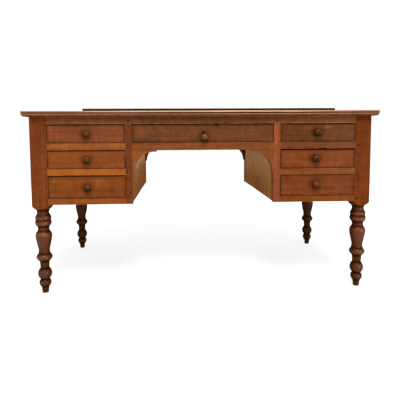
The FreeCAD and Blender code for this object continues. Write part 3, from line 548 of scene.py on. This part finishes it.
for order, (place, colour) in enumerate(DRAWER_STAINS.items()):
    name = "drawer_" + place + "_front"
    front = wood(name, colour, "X", FRONT_SEED + order, roughness=0.46)
    wear_edges(front, box_planes(name), wear=0.25, dirt=0.5)
    low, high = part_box(name)
    height = front.place.axis("Z")
    # Painted shade along the gaps at the sides, the bottom and, heaviest, the top.
    edge = front.place.axis("X").nearest((low.x, high.x)).least(abs(height - low.z))
    face = front.place.axis("Y").ramp(*(FACE_Y + depth for depth in FACE_DEPTH))
    front.over(edge.ramp(*SIDE_GAP_SHADE) * face, OLD_WAX_AND_SHADE, strength=0.5)
    upper_edge = height.ramp(*(high.z - drop for drop in UPPER_GAP_SHADE))
    front.over(upper_edge * face, OLD_WAX_AND_SHADE, strength=LIGHTER_UPPER_GAP_SHADE.get(place, UPPER_GAP_SHADE_AMOUNT))
    knob_middle = middle_of("drawer_" + place + "_knob")
    from_knob = front.place.away_from((knob_middle.x, FACE_Y, knob_middle.z))
    # Darker round the knob.
    bloom = from_knob.ramp(*BLOOM_REACH) * (0.8 + 0.3 * front.patches)
    front.over(bloom, OLD_WAX_AND_SHADE, strength=0.3)
    # Painted shade for a chip at the top edge of the centre drawer.
    if place == "centre":
        front.over(front.place.away_from(CHIP_PLACE).ramp(*CHIP_REACH), OLD_WAX_AND_SHADE, strength=0.95)
    if place in FRONT_MARKS:
        mark = FRONT_MARKS[place]
        spot = front.place.facing().oval((mark["x"], 0.0, mark["z"]), mark["reach"])
        front.over(spot.ramp(1.0, 0.3) * face, mark["colour"], strength=mark["amount"])
    dress(name, front.lay(POLISHED_RELIEF, film=0.1))

    name = "drawer_" + place + "_box"
    box = wood(name, BOX_STAIN, "Y", BOX_SEED + order, roughness=0.7, figure=0.8)
    wear_edges(box, box_planes(name), wear=0.3, dirt=0.3)
    dress(name, box.lay(ROUGH_RELIEF))

    name = "drawer_" + place + "_bottom"
    bottom = wood(name, BOTTOM_STAIN, "X", BOTTOM_SEED + order, roughness=0.75, figure=0.7)
    spilt = (0.2 + 0.6 * bottom.patches + 0.4 * bottom.mottle).ramp(0.2, 1.2)
    bottom.over(spilt, BOTTOM_SPILL, strength=0.3)
    dress(name, bottom.lay(ROUGH_RELIEF))

# Knobs: turned from a darker wood, each with a collar, a neck and a domed face.
# A spigot goes through the drawer front and is glued. Hands have polished the dome, which is painted
# paler in the middle, partly as wear and partly as a painted highlight. The rim by the drawer and the
# underside are painted in shade, and two at the right have been bored for a screw, with painted shade
# in the bore.
KNOB_LOOK = {"stain": (98, 54, 15), "film": 0.2, "painted_shade": 0.5}
ODD_KNOBS = {
    "left_top": {"film": 0.15, "painted_shade": 0.0},
    "centre": {"stain": (112, 64, 27), "film": 0.5},
    "right_top": {"stain": (84, 53, 21), "film": 0.12},
    "right_middle": {"stain": (94, 51, 15)},
    "right_bottom": {"stain": (106, 56, 14)},
}
KNOB_SEED = 70.0
HANDLED_AND_LIT_DOME = (150, 104, 62)
DOME_REACH = 0.009
RIM_BAND = (0.006, 0.0165)
RIM_DEPTH = (0.001, 0.008)
UNDERSIDE = (0.004, -0.012)
UNDERSIDE_SHADE = (44, 26, 2)
BORED_KNOBS = ("right_top", "right_middle")
BORE_RADIUS = 0.003
BORE_SHADE = 0.0016
for order, place in enumerate(DRAWER_STAINS):
    name = "drawer_" + place + "_knob"
    look = KNOB_LOOK | ODD_KNOBS.get(place, {})
    centre = middle_of(name)
    knob = wood(name, look["stain"], "Y", KNOB_SEED + order, roughness=0.34)
    radius = knob.place.facing().away_from((centre.x, 0.0, centre.z))
    depth = knob.place.axis("Y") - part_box(name)[0].y
    # Painted shade round the rim of the dome, toward the drawer.
    knob.over(radius.ramp(*RIM_BAND) * depth.ramp(*RIM_DEPTH), OLD_WAX_AND_SHADE, strength=0.7)
    # Painted paler in the middle of the dome, partly as wear and partly as a painted highlight.
    handled_and_lit = radius.ramp(DOME_REACH, 0.0) * (0.4 + 0.4 * knob.mottle).ramp(0.0, 1.0)
    knob.over(handled_and_lit, HANDLED_AND_LIT_DOME, strength=0.2)
    # Painted shade on the underside.
    under = knob.place.axis("Z").ramp(*(centre.z + rise for rise in UNDERSIDE))
    knob.over(under, UNDERSIDE_SHADE, strength=look["painted_shade"])
    # Painted shade in the bore of the bored knobs.
    if place in BORED_KNOBS:
        knob.over(radius.ramp(BORE_RADIUS + BORE_SHADE, BORE_RADIUS), OLD_WAX_AND_SHADE, strength=0.9)
    dress(name, knob.lay(RUBBED_RELIEF, look["film"] * (1 - 0.85 * under)))

# Screws: slotted iron screws driven into the recess of the two bored knobs at the right.
# The heads are turned discs with a sawn slot, dull and spotted with rust; the one in the right middle
# knob is painted nearly black, as painted shade in its recess. The four that hold the lock are thinner
# ones of the same make.
RECESS_STAND = 0.018
KNOB_SCREW_HEIGHT = 0.0022
SCREW_RADIUS = 0.0026
SCREW_SIDES = 40
SLOT_WIDTH = 0.0007
SLOT_DEPTH = 0.0008
SCREW_ROUNDING = 0.00018
SCREW_SMOOTHING = math.radians(35)
SCREW_ROUGHNESS = 0.38
SEED_BY_HEIGHT = 10.0
KNOB_SCREW_METALS = {
    "right_top": ((104, 92, 80), (54, 39, 29)),
    # The right middle screw is painted nearly black, as painted shade in its recess.
    "right_middle": ((44, 34, 27), (24, 16, 11)),
}
SCRATCH_SCALE = 2200.0
SCRATCH_STRETCH = 0.08
TARNISH_SCALE = 160.0
TARNISH_TONES = (-0.3, 0.9)
PIT_SCALE = 900.0
PIT_TONES = (0.4, 0.9)
METAL_RELIEF = 0.00004


def metal(name, colour, tarnish, seed, roughness):
    """Old metal: fine scratches, a tarnish that comes in patches, and pitting."""
    made = Finish(name)
    brushed = made.place.scaled((1.0, 1.0, SCRATCH_STRETCH), (seed, 0.0, seed))
    scratches = brushed.cloud(SCRATCH_SCALE, detail=2.0)
    patches = made.place.shifted((seed, seed, 0.0)).cloud(TARNISH_SCALE, detail=4.0, roughness=0.65)
    pits = made.place.cloud(PIT_SCALE, detail=2.0).ramp(*PIT_TONES)
    aged = (patches + 0.3 * scratches).ramp(*TARNISH_TONES)
    made.colour = aged.blend(stain(*colour), stain(*tarnish))
    made.roughness = roughness + 0.25 * aged + 0.06 * scratches
    made.height = 0.2 * scratches - pits
    return made.lay(METAL_RELIEF, shine=0.5, metallic=1.0)


def select_faces(piece, wanted):
    """Leave only the wanted faces of a piece selected, in edit mode."""
    bpy.ops.object.mode_set(mode="EDIT")
    bpy.ops.mesh.select_mode(type="FACE")
    bpy.ops.mesh.select_all(action="DESELECT")
    bpy.ops.object.mode_set(mode="OBJECT")
    for face in piece.data.polygons:
        face.select = wanted(face)
    bpy.ops.object.mode_set(mode="EDIT")


def slotted_screw(name, seat, thickness, facing):
    """A screw head on its seat, facing along -Y or +Y, with a level slot."""
    middle = (seat.x, seat.y + facing * thickness / 2, seat.z)
    bpy.ops.object.select_all(action="DESELECT")
    bpy.ops.mesh.primitive_cylinder_add(vertices=SCREW_SIDES, radius=SCREW_RADIUS, depth=thickness,
                                        location=middle, rotation=(math.pi / 2, 0.0, 0.0))
    screw = bpy.context.object
    screw.name = name
    bpy.ops.object.transform_apply(location=True, rotation=True, scale=True)
    for side in (-1, 1):
        select_faces(screw, lambda face: True)
        cut = (seat.x, seat.y, seat.z + side * SLOT_WIDTH / 2)
        bpy.ops.mesh.bisect(plane_co=cut, plane_no=(0.0, 0.0, 1.0))
        bpy.ops.object.mode_set(mode="OBJECT")
    select_faces(screw, lambda face: face.normal.y * facing > 0.9
                 and abs(face.center.z - seat.z) < SLOT_WIDTH / 4)
    bpy.ops.mesh.extrude_region_move(
        TRANSFORM_OT_translate={"value": (0.0, -facing * SLOT_DEPTH, 0.0)})
    bpy.ops.object.mode_set(mode="OBJECT")
    rounding = screw.modifiers.new("rounding", "BEVEL")
    rounding.width = SCREW_ROUNDING
    rounding.segments = 2
    rounding.limit_method = "ANGLE"
    bpy.ops.object.modifier_apply(modifier="rounding")
    bpy.ops.object.shade_smooth_by_angle(angle=SCREW_SMOOTHING)
    return screw


def screws_on(seats, thickness, facing):
    """One screw made on the first of some named seats and copied to the others."""
    first_name, *other_names = seats
    first = slotted_screw(first_name, seats[first_name], thickness, facing)
    screws = [first]
    for name in other_names:
        bpy.ops.object.select_all(action="DESELECT")
        first.select_set(True)
        bpy.context.view_layer.objects.active = first
        bpy.ops.object.duplicate(linked=False)
        bpy.ops.transform.translate(value=seats[name] - seats[first_name])
        bpy.ops.object.transform_apply(location=True, rotation=True, scale=True)
        bpy.context.object.name = name
        screws.append(bpy.context.object)
    return screws


def finish_screw(screw, seat, colours, body):
    """A screw's own metal, and the body that it moves with."""
    screw.data.materials.append(metal(screw.name, *colours, seat.z * SEED_BY_HEIGHT, SCREW_ROUGHNESS))
    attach(screw, body)


seats = {}
for place in BORED_KNOBS:
    centre = middle_of("drawer_" + place + "_knob")
    seats["knob_screw_" + place] = Vector((centre.x, FACE_Y - RECESS_STAND, centre.z))
screws = screws_on(seats, KNOB_SCREW_HEIGHT, facing=-1)
for screw, place in zip(screws, BORED_KNOBS):
    finish_screw(screw, seats[screw.name], KNOB_SCREW_METALS[place], "drawer_" + place)

# Lock: an iron case let into the back of the centre drawer's front, with a brass bolt.
# The case is filed plate with a dull brown skin; the bolt slides up into the top rail and is
# rubbed bright. Four screws hold the case.
CASE_METAL = ((118, 108, 98), (64, 48, 38))
BOLT_METAL = ((196, 158, 88), (120, 86, 44))
LOCK_SCREW_METAL = ((150, 138, 124), (74, 52, 38))
LOCK_SCREW_INSET = 0.006
LOCK_SCREW_HEIGHT = 0.001
dress("lock_case", metal("lock_case", *CASE_METAL, seed=3.0, roughness=0.45))
dress("lock_bolt", metal("lock_bolt", *BOLT_METAL, seed=5.0, roughness=0.3))
low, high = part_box("lock_case")
seats = {}
for side, x in (("left", low.x + LOCK_SCREW_INSET), ("right", high.x - LOCK_SCREW_INSET)):
    for level, z in (("lower", low.z + LOCK_SCREW_INSET), ("upper", high.z - LOCK_SCREW_INSET)):
        seats["lock_screw_" + level + "_" + side] = Vector((x, high.y, z))
for screw in screws_on(seats, LOCK_SCREW_HEIGHT, facing=1):
    finish_screw(screw, seats[screw.name], LOCK_SCREW_METAL, "drawer_centre")

# Writing pad: a thin board bound in dark green leather that lies loose on the top.
# The hide is drawn over the edges and glued below, padded a little so that the middle is crowned,
# and a double line is pressed into it near the edge. The rim is rubbed brown.
PAD_CORNER = 0.006
PAD_RIM = 0.003
PAD_BORDER = 0.022
PAD_SMOOTHING = math.radians(50)
PAD_LINES = 2
LINE_WIDTH = 0.0014
LINE_DEPTH = 0.0006
LINE_SPACING = 0.005
CROWN_STEPS = ((0.02, 0.0004), (0.04, 0.0005), (0.08, 0.0005), (0.10, 0.0003))
DARK_LEATHER = (14, 26, 15)
PALE_LEATHER = (40, 62, 38)
LEATHER_TONES = (0.1, 0.9)
RUBBED_LEATHER = (72, 60, 38)
RIM_RUB = (0.004, 0.0008)
PEBBLE_SCALE = 620.0
CREASE_SCALE = 70.0
FADING_SCALE = 4.0
LEATHER_RELIEF = 0.00012
low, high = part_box("writing_pad")


def select_edges(piece, wanted):
    """Leave only the edges whose two ends pass selected, in edit mode."""
    bpy.ops.object.mode_set(mode="EDIT")
    bpy.ops.mesh.select_mode(type="EDGE")
    bpy.ops.mesh.select_all(action="DESELECT")
    bpy.ops.object.mode_set(mode="OBJECT")
    points = piece.data.vertices
    for edge in piece.data.edges:
        edge.select = wanted(*(points[end].co for end in edge.vertices))
    bpy.ops.object.mode_set(mode="EDIT")


def on_upper_rim(point):
    """True for a point on the upper rim of the pad, its rounded corners included."""
    margin = min(point.x - low.x, high.x - point.x, point.y - low.y, high.y - point.y)
    return point.z > high.z - LINE_DEPTH / 2 and margin < PAD_CORNER / 2


bpy.ops.object.select_all(action="DESELECT")
bpy.ops.mesh.primitive_cube_add(size=1.0, location=(low + high) / 2, scale=high - low)
pad = bpy.context.object
pad.name = "leather_pad"
bpy.ops.object.transform_apply(location=True, rotation=True, scale=True)
select_faces(pad, lambda face: face.normal.z > 0.99)
bpy.ops.mesh.inset(thickness=PAD_BORDER, depth=0.0)
for line in range(PAD_LINES):
    bpy.ops.mesh.inset(thickness=LINE_WIDTH / 2, depth=-LINE_DEPTH)
    bpy.ops.mesh.inset(thickness=LINE_WIDTH / 2, depth=LINE_DEPTH)
    bpy.ops.mesh.inset(thickness=LINE_SPACING, depth=0.0)
for width, rise in CROWN_STEPS:
    bpy.ops.mesh.inset(thickness=width, depth=rise)
bpy.ops.object.mode_set(mode="OBJECT")
select_edges(pad, lambda a, b: abs(a.z - b.z) > (high.z - low.z) / 2)
bpy.ops.mesh.bevel(offset=PAD_CORNER, segments=8, affect="EDGES")
bpy.ops.object.mode_set(mode="OBJECT")
select_edges(pad, lambda a, b: on_upper_rim(a) and on_upper_rim(b))
bpy.ops.mesh.bevel(offset=PAD_RIM, segments=6, affect="EDGES")
bpy.ops.object.mode_set(mode="OBJECT")
bpy.ops.object.shade_smooth_by_angle(angle=PAD_SMOOTHING)

leather = Finish("pad_leather")
pebbles = {"Vector": leather.place, "Scale": PEBBLE_SCALE}
pebble = leather.place.node("ShaderNodeTexVoronoi", {}, pebbles, "Distance")
creases = leather.place.cloud(CREASE_SCALE, detail=4.0, roughness=0.6, distortion=0.5)
fading = leather.place.cloud(FADING_SCALE, detail=3.0)
tone = 0.5 + 0.25 * fading + 0.15 * creases - 0.2 * pebble
leather.colour = tone.ramp(*LEATHER_TONES).blend(stain(*DARK_LEATHER), stain(*PALE_LEATHER))
planes = box_planes("writing_pad")
from_side = leather.place.axis("X").nearest(planes["X"])
from_end = leather.place.axis("Y").nearest(planes["Y"])
from_rim = from_side.least(from_end).most(abs(leather.place.axis("Z") - high.z))
rubbed = from_rim.ramp(*RIM_RUB) * (0.4 + 0.5 * creases).ramp(0.1, 1.0)
leather.over(rubbed, RUBBED_LEATHER, strength=0.2)
leather.roughness = 0.5 + 0.1 * fading + 0.12 * pebble
leather.height = 0.4 * creases - pebble
pad.data.materials.append(leather.lay(LEATHER_RELIEF, shine=0.04))
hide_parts("writing_pad")
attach(pad, "carcase")

# Floor and room: a pale floor that takes the shadow, in a white room seen only by the camera and
# in reflections. The light on the table itself is a dim grey room, one large soft window above the
# front and a smaller one low at the right that reaches into the kneehole.
FLOOR_REACH = 3.0
FLOOR_GREY = 0.5
FLOOR_GLOW = 0.74
GLOW_DISTANCES = (0.9, 2.4)
ROOM_GREY = 0.55
WINDOW_AIM = Vector((0.0, FACE_Y, 0.45))
WINDOWS = {
    "window": {"elevation": math.radians(52), "turn": math.radians(2),
               "distance": 5.0, "width": 1.8, "power": 165.0},
    "side_window": {"elevation": 0.0, "turn": math.radians(44),
                    "distance": 4.0, "width": 0.9, "power": 42.0},
}


def grey(level):
    """An even grey, as the light that a shader counts in."""
    return (level, level, level, 1.0)


def seen_rays(start):
    """1 for rays that show the background: from the camera, a reflection or through glass."""
    rays = [start.node("ShaderNodeLightPath", {}, {}, kind)
            for kind in ("Is Camera Ray", "Is Glossy Ray", "Is Transmission Ray")]
    return rays[0].most(rays[1]).most(rays[2])


bpy.ops.object.select_all(action="DESELECT")
bpy.ops.mesh.primitive_plane_add(size=2 * FLOOR_REACH)
floor = bpy.context.object
floor.name = "floor"
paint = bpy.data.materials.new("pale_floor")
paint.use_nodes = True
paint.node_tree.nodes.clear()
start = Layer(paint.node_tree)
from_table = start.node("ShaderNodeTexCoord", {}, {}, "Object").away_from((0.0, 0.0, 0.0))
glow = from_table.ramp(*GLOW_DISTANCES).blend(grey(FLOOR_GLOW), grey(1.0))
matt = start.node("ShaderNodeBsdfDiffuse", {}, {"Color": grey(FLOOR_GREY)})
lit = start.node("ShaderNodeEmission", {}, {"Color": glow})
white = start.node("ShaderNodeAddShader", {}, {0: matt, 1: lit})
mixed = start.node("ShaderNodeMixShader", {}, {0: seen_rays(start), 1: matt, 2: white})
start.node("ShaderNodeOutputMaterial", {}, {"Surface": mixed})
floor.data.materials.append(paint)

room = bpy.data.worlds.new("room")
bpy.context.scene.world = room
room.use_nodes = True
room.node_tree.nodes.clear()
start = Layer(room.node_tree)
dim = start.node("ShaderNodeBackground", {}, {"Color": grey(ROOM_GREY)})
bright = start.node("ShaderNodeBackground", {}, {"Color": grey(1.0)})
sky = start.node("ShaderNodeMixShader", {}, {0: seen_rays(start), 1: dim, 2: bright})
start.node("ShaderNodeOutputWorld", {}, {"Surface": sky})

for name, light in WINDOWS.items():
    level = math.cos(light["elevation"])
    toward = Vector((level * math.sin(light["turn"]), -level * math.cos(light["turn"]),
                     math.sin(light["elevation"])))
    lamp = bpy.data.lights.new(name, "AREA")
    lamp.energy = light["power"]
    lamp.size = light["width"]
    window = bpy.data.objects.new(name, lamp)
    bpy.context.scene.collection.objects.link(window)
    window.location = WINDOW_AIM + toward * light["distance"]
    window.rotation_euler = toward.to_track_quat("Z", "Y").to_euler()

# Camera: in front of the table, a little to the left of its middle and lower than its top.
# Its place, turns, focal length and shift are fitted to the lines of the photograph.
CAMERA_PLACE = (-0.11157, -2.0297, 0.67855)
CAMERA_PAN = -0.04390
CAMERA_TILT = 0.07559
CAMERA_ROLL = -0.00555
FOCAL_LENGTH = 35.805
SENSOR_WIDTH = 36.0
LENS_SHIFT = (0.01429, -0.09224)
lens = bpy.data.cameras.new("camera")
lens.lens = FOCAL_LENGTH
lens.sensor_width = SENSOR_WIDTH
lens.shift_x, lens.shift_y = LENS_SHIFT
camera = bpy.data.objects.new("camera", lens)
bpy.context.scene.collection.objects.link(camera)
turn = (Matrix.Rotation(CAMERA_PAN, 4, "Z") @ Matrix.Rotation(math.pi / 2 - CAMERA_TILT, 4, "X")
        @ Matrix.Rotation(CAMERA_ROLL, 4, "Z"))
camera.matrix_world = Matrix.Translation(CAMERA_PLACE) @ turn
bpy.context.scene.camera = camera
bpy.context.scene.view_settings.view_transform = "Standard"
